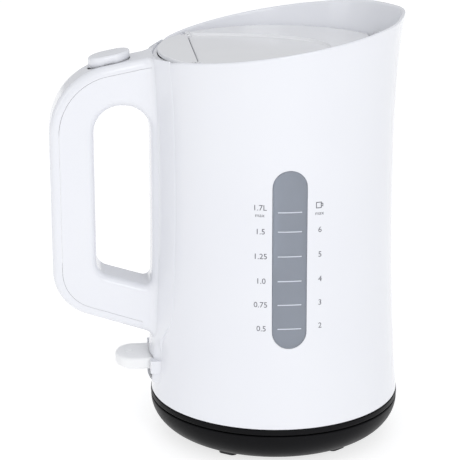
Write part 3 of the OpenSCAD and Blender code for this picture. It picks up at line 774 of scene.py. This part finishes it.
def make_handle():
    """Handle body and cover: one surface, split along the seam, then the slot and the button's well."""
    pts, faces = surface_net(handle_field, (-143.5, -37.0, 26.0), (-47.5, 37.0, 246.5), 1.25)
    body = build("handle_body", pts, faces, WHITE, "kettle", ["handle_body"], weighted=False)
    cover = bpy.data.objects.new("handle_cover", body.data.copy())
    bpy.context.scene.collection.objects.link(cover)
    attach(cover, "kettle")
    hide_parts("handle_cover")
    gap = 0.09
    inside = cover_split(COVER_D + gap, -77.6, -85.5)
    outside = cover_split(COVER_D - gap, -77.4, -85.3)
    z0, z1 = SLOT_Z
    slot = prism("slot", [(-60, z0), (-110, z0), (-110, z1), (-60, z1)], -SLOT_HALF, SLOT_HALF)
    well = column("well", plan_stadium(*BUTTON_X, BUTTON_R + 0.4, 28), 222, 262)
    # room for the latch slider's fork when the button is down
    travel = [(-111.8, 226.3), (-90, 226.3), (-90, 230.5), (-111.8, 230.5)]
    boolean(body, [(prism("keep", inside, -40, 40), "INTERSECT"), (slot, "DIFFERENCE"), (well, "DIFFERENCE")])
    boolean(cover, [(prism("drop", outside, -40, 40), "DIFFERENCE"),
                    (prism("travel", travel, -10.5, 10.5), "DIFFERENCE"), (well, "DIFFERENCE")])
    m = Mesh()
    saddle_patch(m)
    verts, faces = m.data()
    x, y, z = verts.T
    cut = (x < -60) & (np.abs(y) < SLOT_HALF + 0.05) & (z > z0 - 0.1) & (z < z1 + 0.1)
    faces = [f for f in faces if not all(cut[i] for i in f)]
    sheet = build("saddle_sheet", verts, faces, WHITE, "kettle", weighted=False)
    with bpy.context.temp_override(active_object=body, selected_editable_objects=[body, sheet]):
        bpy.ops.object.join()
    for obj in (body, cover):
        smooth_by_angle(obj, 35)
        mod = obj.modifiers.new("normals", "WEIGHTED_NORMAL")
        mod.keep_sharp = True


make_handle()


def make_button():
    """Release button: stadium in plan, flat sloping top with a soft edge and a shallow crown."""
    x0, x1 = BUTTON_X
    base = np.array(plan_stadium(x0, x1, BUTTON_R, 24))
    mid = np.array([(min(max(p[0], x0), x1), 0.0) for p in base])
    edge, height, sunk = 1.5, 5.5, -0.8
    steps = [(0.0, sunk), (0.0, height - edge)]
    for k in range(1, 9):
        a = math.pi / 2 * k / 8
        steps.append((edge * (1 - math.cos(a)), height - edge * (1 - math.sin(a))))
    for inset in (3.0, 5.0, 7.0, 8.6, 9.6, 9.99):
        steps.append((inset, height + 0.25 * (1 - (1 - (inset - edge) / 8.5) ** 2)))
    rows = []
    for inset, h in steps:
        out = base - mid
        out = out / np.linalg.norm(out, axis=1)[:, None] * (BUTTON_R - inset)
        rows.append([(x, y, top_line(x) + h) for x, y in mid + out])
    m = Mesh()
    m.add(rows, wrap=True)
    bottom = (base, mid + (base - mid) * 0.02)
    m.add([[(x, y, top_line(x) + sunk) for x, y in ring] for ring in bottom], wrap=True)
    # boss for the spring, and the stem under it
    n = 20
    t = np.linspace(0, 2 * math.pi, n, endpoint=False)
    for z0, z1, rad in ((229.4, 235.0, 4.2), (221.0, 229.6, 1.8)):
        m.add([np.stack([-100.5 + rad * k * np.cos(t), rad * k * np.sin(t), np.full(n, z)], 1)
               for k, z in ((0.01, z0), (1, z0), (1, z1))], wrap=True)
    verts, faces = m.data()
    build("release_button", verts, faces, WHITE, "button", ["release_button"])


make_button()

# ---------------------------------------------------------------- lid and rear cover
DISH_X, DISH_A, DISH_B, DISH_DEEP = 53.0, 87.0, 48.0, 1.5   # ellipse of the dish: centre, half axes, depth


def dish_drop(x, y):
    """Depth of the dish at a point of the lid."""
    u, v = (x + DISH_X) / DISH_A, y / DISH_B
    f = np.sqrt(u * u + v * v) + 1e-9
    g = np.sqrt((u / DISH_A) ** 2 + (v / DISH_B) ** 2) / f
    return DISH_DEEP * smooth01((1 - f) / g / 1.1 + 0.5)


def ray_to(limit_x, phi):
    """How far a ray from the axis runs before it meets x = limit_x."""
    c = math.cos(phi)
    return limit_x / c if limit_x * c > 1e-9 else 1e9


def lid_radius(phi):
    return min(LID_R, ray_to(LID_FRONT, phi), ray_to(LID_REAR, phi))


def dish_radius(phi):
    """Distance from the axis to the dish's elliptical border."""
    c, s = math.cos(phi), math.sin(phi)
    a = (c / DISH_A) ** 2 + (s / DISH_B) ** 2
    b = 2 * c * DISH_X / DISH_A ** 2
    k = (DISH_X / DISH_A) ** 2 - 1
    return (-b + math.sqrt(b * b - 4 * a * k)) / (2 * a)


def make_lid():
    """Lid: a disc cut straight at the hinge and at the spout, with the dish and two hinge lugs."""
    n, soft, band, thick = 432, 0.9, 2.2, 3.6
    phis = np.linspace(0, 2 * math.pi, n, endpoint=False)
    # a column of points on each corner of the outline
    for c in (math.acos(LID_FRONT / LID_R), math.pi - math.acos(-LID_REAR / LID_R)):
        for s in (c, 2 * math.pi - c):
            phis[np.argmin(np.abs(phis - s))] = s
    outer = np.array([lid_radius(p) for p in phis])
    inner = np.minimum([dish_radius(p) for p in phis], outer - 5)
    radii = [(inner - band) * k for k in np.linspace(0, 1, 24)[:-1]]
    radii += [inner + k for k in (-band, -1.2, -0.7, -0.5, -0.35, -0.2, 0.0, 0.2, 0.35, 0.5, 0.7, 1.2, band)]
    radii += [inner + band + (outer - soft - inner - band) * k for k in np.linspace(0, 1, 8)[1:]]
    cx, sy = np.cos(phis), np.sin(phis)
    verts = [np.stack([r * cx, r * sy, LID_Z - dish_drop(r * cx, r * sy)], 1) for r in radii]
    edge_z = LID_Z - dish_drop((outer - soft) * cx, (outer - soft) * sy)
    for k in range(1, 7):
        a = math.pi / 2 * k / 6
        r = outer - soft + soft * math.sin(a)
        verts.append(np.stack([r * cx, r * sy, edge_z - soft * (1 - math.cos(a))], 1))
    # the underside, thinner over the hinge
    deep = np.full(n, LID_Z - thick)
    low = deep + 1.2 * smooth01((-outer * cx - 46) / 2.0)
    for r, z in ((outer, low + 0.2), (outer - 0.2, low), (outer - 3, low),
                 (outer * 0.5, deep), (outer * 0, deep)):
        verts.append(np.stack([r * cx, r * sy, z], 1))
    m = Mesh()
    m.add(verts, wrap=True)
    t = np.linspace(0, 2 * math.pi, 24, endpoint=False)
    for s in (-1, 1):
        rows = []
        for y, r in ((42.2, 0.05), (42.2, 1.6), (42.5, 1.9), (44.9, 1.9), (45.2, 1.6), (45.2, 0.05)):
            rows.append(np.stack([-51 + r * np.cos(t), np.full(24, s * y),
                                  np.minimum(242.3 + r * np.sin(t), LID_Z)], 1))
        m.add(rows, wrap=True)
    verts, faces = m.data()
    build("lid_cap", verts, faces, WHITE_LID, "lid", ["lid"])


def make_rear_cover():
    """Fixed cover between the hinge and the handle: straight front edge, round back."""
    side = np.linspace(42.4, 47.2, 6)
    lug, thick, bevel = 42, 2.6, 0.15
    rows = []
    for y in np.concatenate([-side[::-1], np.linspace(-41.9, 41.9, 60), side]):
        front = -51.8 if abs(y) < lug else -55.3
        back = -math.sqrt(LID_R ** 2 - y * y)
        w = front - back
        e = min(0.8, w / 3)
        row = []
        for k in range(7):
            a = math.pi / 2 * k / 6
            row.append((back + e * (1 - math.cos(a)), y, LID_Z - e * (1 - math.sin(a))))
        for k in np.linspace(0, 1, 9)[1:-1]:
            row.append((back + e + (w - 1.4 * e) * k, y, LID_Z))
        for k in range(6, -1, -1):
            a = math.pi / 2 * k / 6
            row.append((front - 0.4 * e * (1 - math.cos(a)), y, LID_Z - 0.4 * e * (1 - math.sin(a))))
        row += [(front, y, LID_Z - thick + bevel), (front - bevel, y, LID_Z - thick),
                (back + bevel, y, LID_Z - thick), (back, y, LID_Z - thick + bevel)]
        rows.append(row)
    m = Mesh()
    m.add(rows, wrap=True)
    verts, faces = m.data()
    k = len(rows[0])
    faces += [tuple(range(k)), tuple(range(len(verts) - k, len(verts)))[::-1]]
    build("rear_cover", verts, faces, WHITE_LID, "kettle", ["rear_cover"])


make_lid()
make_rear_cover()

# ---------------------------------------------------------------- switch paddle
def make_paddle():
    """Rocker under the handle: a milky block with a round end, soft edges and a raised mark."""
    x0, nose, face, half_w, low, top, soft = -91, 11.7, -77.2, 14.9, 38.6, 46, 1.9

    def plan(inset):
        half, front = half_w - inset, face - inset
        pts = []
        for k in range(49):
            a = math.pi / 2 + math.pi * k / 48
            pts.append((x0 + (nose - inset) * math.cos(a), half * math.sin(a)))
        pts += [(x0 + (front - x0) * (k + 1) / 9, -half) for k in range(9)]
        pts += [(front, -half + 2 * half * (k + 1) / 10) for k in range(9)]
        pts += [(front - (front - x0) * k / 9, half) for k in range(9)]
        return np.array(pts)

    arcs = [math.pi / 2 * k / 6 for k in range(7)]
    steps = [(soft * (1 - math.sin(a)), low + soft * (1 - math.cos(a))) for a in arcs]
    steps += [(soft * (1 - math.cos(a)), top - soft * (1 - math.sin(a))) for a in arcs]
    rings = [[(x, y, z) for x, y in plan(inset)] for inset, z in steps]
    centre = np.array([-90.0, 0.0])
    face_plan = plan(soft) - centre
    for k in (0.8, 0.55, 0.3, 0.0):
        rings.append([(x, y, top + 0.15 * (1 - k)) for x, y in centre + face_plan * k])
    for k in (0.6, 0.0):
        rings.insert(0, [(x, y, low) for x, y in centre + face_plan * k])
    m = Mesh()
    m.add(rings, wrap=True)
    tail = [(-78.6, 40.9), (-60.2, 41.4), (-57.7, 41.6), (-57.7, 43.4), (-60.2, 43.9), (-78.6, 43.9)]
    m.add([[(x, y, z) for x, z in tail] for y in (-13.5, 13.5)], wrap=True)
    verts, faces = m.data()
    start = len(verts) - 12
    faces += [tuple(start + i for i in range(6)), tuple(start + 11 - i for i in range(6))]
    build("switch_paddle", verts, faces, PADDLE, "switch", ["switch_paddle"])
    n = 40
    t = np.linspace(0, 2 * math.pi, n, endpoint=False)
    m = Mesh()
    m.add([np.stack([-94 + r * np.cos(t), r * np.sin(t), np.full(n, top + 0.05 + h)], 1)
           for r, h in ((2.1, 0.0), (2.2, 0.28), (2.45, 0.36), (2.7, 0.28), (2.8, 0.0))], wrap=True)
    verts, faces = m.data()
    build("paddle_mark", verts, faces, PADDLE, "switch")


make_paddle()

# ---------------------------------------------------------------- foot and power base
def lathe(name, corners, material, body, replaces):
    """Builds a turned piece from [r, z, radius] corners."""
    points = rounded(corners, 6)
    keep = [points[0]]
    for p in points[1:]:
        if np.linalg.norm(p - keep[-1]) > 1e-4:
            keep.append(p)
    verts, faces = revolve(densify(np.array(keep), 4.0), 224)
    build(name, verts, faces, material, body, replaces)


lathe("foot_band", [
    (22.4, 17.9, 0.2), (56, 17.9, 0.3), (56, 10.85, 0.8), (59.5, 10.85, 0.8), (59.5, 17.9, 0.3),
    (74, 17.9, 0.4), (76, 16.7, 0.6), (80, 16.7, 1.2), (79.8, 20.5, 0.8), (76.7, 20.5, 0.1),
    (76.5, 26, 0.2), (74.6, 26, 0.2), (74.6, 19.9, 0.2), (22.4, 19.9, 0.2),
], BLACK, "kettle", ["bottom_cover"])


def base_profile():
    """Outline of the power base: dish, upper ring, and a skirt that curves in to the bottom plate."""
    top, low, r0, r1, wall = 15.5, -4.0, 62.0, 79.8, 2.2
    pts = [(13.6, 10.8, 0.3), (13.6, 8.6, 0.2), (67.4, 8.6, 0.2), (68.6, 13.9, 0.2)]
    for i in range(9):
        a = math.radians(82 - i * 82 / 8)
        pts.append((r0 + (r1 - r0 - wall) * math.sin(a) ** 1.25, top - (top - low - wall) * math.cos(a), 0))
    for i in range(22):
        a = math.radians(i * 87 / 21)
        pts.append((r0 + (r1 - r0) * math.sin(a) ** 1.25, top - (top - low) * math.cos(a), 0))
    pts += [(r1, 16.1, 0.7), (68.2, 16.1, 0.8), (66, 10.8, 0.8)]
    return pts


lathe("base_shell", base_profile(), BLACK, "base", ["base_shell"])

# ---------------------------------------------------------------- level scale
def wrap_text(name, items, side):
    """Printed marks: flat text laid onto the jug's curved face. Items are (string, x, z, height)."""
    verts, faces = [], []
    for text, x, z, height in items:
        curve = bpy.data.curves.new("t", "FONT")
        curve.body = text
        curve.size = 1.0
        curve.align_x = "CENTER"
        curve.resolution_u = 3
        obj = bpy.data.objects.new("t", curve)
        bpy.context.scene.collection.objects.link(obj)
        bpy.context.view_layer.update()
        flat = bpy.data.meshes.new_from_object(obj.evaluated_get(bpy.context.evaluated_depsgraph_get()))
        co = np.array([v.co[:] for v in flat.vertices])
        scale = height / 0.7
        u = x - side * co[:, 0] * scale
        v = z + (co[:, 1] - 0.35) * scale
        r = jug_r(v) + PRINT
        start = len(verts)
        verts += list(np.stack([u, side * np.sqrt(r * r - u * u), v], 1))
        faces += [tuple(start + i for i in f.vertices) for f in flat.polygons]
        bpy.data.objects.remove(obj)
        bpy.data.curves.remove(curve)
        bpy.data.meshes.remove(flat)
    build(name, np.array(verts), faces, INK, "kettle", weighted=False)


PRINT = 0.05                                            # how far printed marks stand off the jug
SCALE_Z = [157.6, 145.6, 130.2, 114.8, 99.9, 84.8]      # heights of the level lines
LITRES = [("1.7L", 17.9, 160.6, 3.4), ("max", 17.9, 156.0, 2.3), ("1.5", 17.6, 145.9, 3.4),
          ("1.25", 17.5, 130.5, 3.4), ("1.0", 17.2, 115.1, 3.4), ("0.75", 17.3, 100.2, 3.4),
          ("0.5", 16.9, 85.2, 3.4)]
CUPS = [("max", 17.9, 156.4, 2.3), ("6", 18.3, 146.2, 3.4), ("5", 18.5, 130.8, 3.4),
        ("4", 18.7, 115.4, 3.4), ("3", 18.8, 100.6, 3.4), ("2", 18.9, 86.0, 3.4)]
CUP_SIGN = [[(-1.9, 1.7), (1.1, 1.7), (1.1, -1.7), (-1.9, -1.7)],
            [(1.1, 0.9), (2.1, 0.9), (2.1, -0.7), (1.1, -0.7)]]


def make_scale(side):
    """Level scale of one window: numbers beside it, lines across it and a cup sign."""
    def on_jug(x, z, lift):
        r = float(jug_r(z)) + lift
        return x, side * math.sqrt(r * r - x * x), z

    where = "left" if side < 0 else "right"
    items = [(t, side * x, z, h) for t, x, z, h in LITRES] + [(t, -side * x, z, h) for t, x, z, h in CUPS]
    wrap_text("scale_numbers_" + where, items, side)
    half = 7.2
    m = Mesh()
    for z in SCALE_Z:
        m.add([[on_jug(half * (k / 6 - 1), z + dz, lift) for k in range(13)]
               for dz, lift in ((-0.32, -0.2), (-0.26, -0.08), (0.26, -0.08), (0.32, -0.2))])
    verts, faces = m.data()
    build("scale_lines_" + where, verts, faces, LINE, "kettle")
    # cup sign over the cup numbers: two frames, each between an outer and an inner ring
    x0, z0 = -side * 17.8, 161.3
    m = Mesh()
    for shape in CUP_SIGN:
        pts = np.array(shape)
        rings = []
        for stroke in (0.24, -0.24):
            q = pts + np.sign(pts - pts.mean(0)) * stroke
            ring = []
            for i in range(4):
                for s in np.linspace(0, 1, 6)[:-1]:
                    px, pz = q[i] + (q[(i + 1) % 4] - q[i]) * s
                    ring.append(on_jug(x0 - side * px, z0 + pz, PRINT))
            rings.append(ring)
        m.add(rings, wrap=True)
    verts, faces = m.data()
    build("scale_cup_" + where, verts, faces, INK, "kettle", weighted=False)


make_scale(-1)
make_scale(1)

# ---------------------------------------------------------------- floor, light, camera
def floor_material():
    """Pale floor that glows a little, as the photo has almost no shadow."""
    mat, nt, bsdf = nodes_of("pale_floor")
    n = noise(nt, 3.0, 2.0)
    vary(nt, n.outputs["Fac"], (0.42, 0.42, 0.425), (0.45, 0.45, 0.455), bsdf.inputs["Base Color"])
    vary(nt, n.outputs["Fac"], 0.5, 0.6, bsdf.inputs["Roughness"])
    bsdf.inputs["Emission Color"].default_value = (1, 1, 1, 1)
    bsdf.inputs["Emission Strength"].default_value = 0.72
    return mat


fm = bpy.data.meshes.new("floor")
bm = bmesh.new()
bmesh.ops.create_grid(bm, x_segments=8, y_segments=8, size=4.0)
bm.to_mesh(fm)
bm.free()
fm.materials.append(floor_material())
floor = bpy.data.objects.new("floor", fm)
bpy.context.scene.collection.objects.link(floor)

# the camera sees a plain white backdrop, and everything else is lit by a softer, cooler one
world = bpy.data.worlds.new("studio")
bpy.context.scene.world = world
world.use_nodes = True
bg = world.node_tree.nodes["Background"]
bg.inputs["Color"].default_value = (0.965, 0.975, 1.0, 1)
bg.inputs["Strength"].default_value = 0.64
backdrop = world.node_tree.nodes.new("ShaderNodeBackground")
backdrop.inputs["Color"].default_value = (1, 1, 1, 1)
backdrop.inputs["Strength"].default_value = 1.0
path = world.node_tree.nodes.new("ShaderNodeLightPath")
both = world.node_tree.nodes.new("ShaderNodeMixShader")
world.node_tree.links.new(path.outputs["Is Camera Ray"], both.inputs["Fac"])
world.node_tree.links.new(bg.outputs["Background"], both.inputs[1])
world.node_tree.links.new(backdrop.outputs["Background"], both.inputs[2])
world.node_tree.links.new(both.outputs["Shader"], world.node_tree.nodes["World Output"].inputs["Surface"])


def area(name, place, target, size_x, size_y, power):
    light = bpy.data.lights.new(name, "AREA")
    light.shape = "RECTANGLE"
    light.size, light.size_y = size_x, size_y
    light.energy = power
    obj = bpy.data.objects.new(name, light)
    obj.location = place
    obj.rotation_euler = (Vector(target) - Vector(place)).to_track_quat("-Z", "Y").to_euler()
    bpy.context.scene.collection.objects.link(obj)


area("key", (0.25, -1.7, 0.92), (0, 0, 0.13), 1.1, 0.9, 9)
area("left", (-1.5, -0.5, 0.8), (0, 0, 0.13), 0.7, 1.0, 2)
area("top", (0.1, -0.45, 1.4), (0, 0, 0.2), 1.0, 0.8, 2.0)

cam = bpy.data.cameras.new("camera")
cam.sensor_width = 36
cam.lens = 142.1
cam.clip_start, cam.clip_end = 0.05, 50
camera = bpy.data.objects.new("camera", cam)
camera.location = (-0.1382, -1.0970, 0.4694)
forward = Vector((0.0952, 0.9515, -0.2924)).normalized()
camera.rotation_mode = "QUATERNION"
camera.rotation_quaternion = forward.to_track_quat("-Z", "Y")
bpy.context.scene.collection.objects.link(camera)
bpy.context.scene.camera = camera

view = bpy.context.scene.view_settings
view.view_transform = "Standard"
view.look = "None"
view.exposure = 0.0
